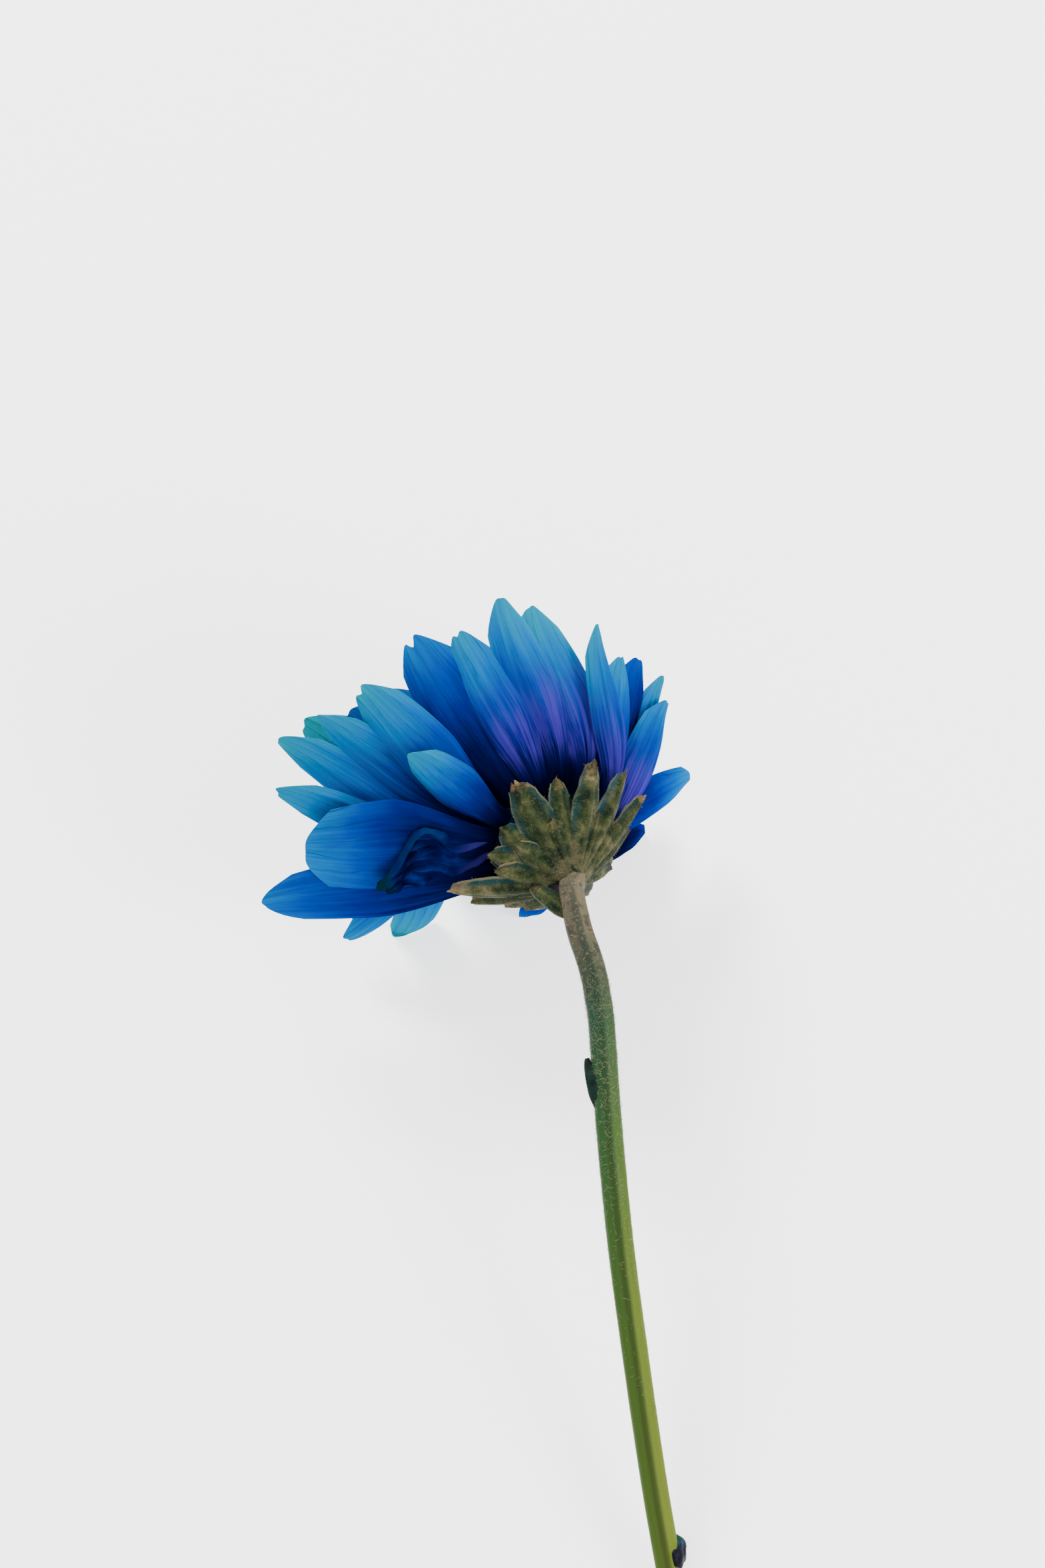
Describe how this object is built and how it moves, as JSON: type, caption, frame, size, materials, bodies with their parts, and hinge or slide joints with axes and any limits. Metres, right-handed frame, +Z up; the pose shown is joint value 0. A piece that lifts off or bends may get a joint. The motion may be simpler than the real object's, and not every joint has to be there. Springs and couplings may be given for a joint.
{
  "type": "blue daisy",
  "caption": "Cut daisy lying on a surface: a deep bloom of layered, rounded ray florets round a low disc, a cup of pointed green bracts and a long, gently curved, ribbed stem.",
  "frame": {"origin": "centre of the bounding box at its lowest face, on the surface that the flower lies on", "axes": "+Y along the longest extent, from the cut end of the stem to the bloom; +Z up, away from the surface; the bloom faces +Y, -X and down"},
  "size_m": [0.0575, 0.127, 0.0477],
  "materials": {
    "petal_blue": "soft, finely veined petals, turquoise at the tips and navy at the base",
    "disc_green": "matt, crowded small tubes",
    "bract_green": "matt, downy, with dyed edges and papery tips",
    "stem_green": "fibrous, ribbed and finely haired"
  },
  "bodies": {
    "root": {"ray_florets": "petal_blue", "disc_florets": "disc_green", "involucre": "bract_green", "stem": "stem_green"}
  },
  "joints": []
}
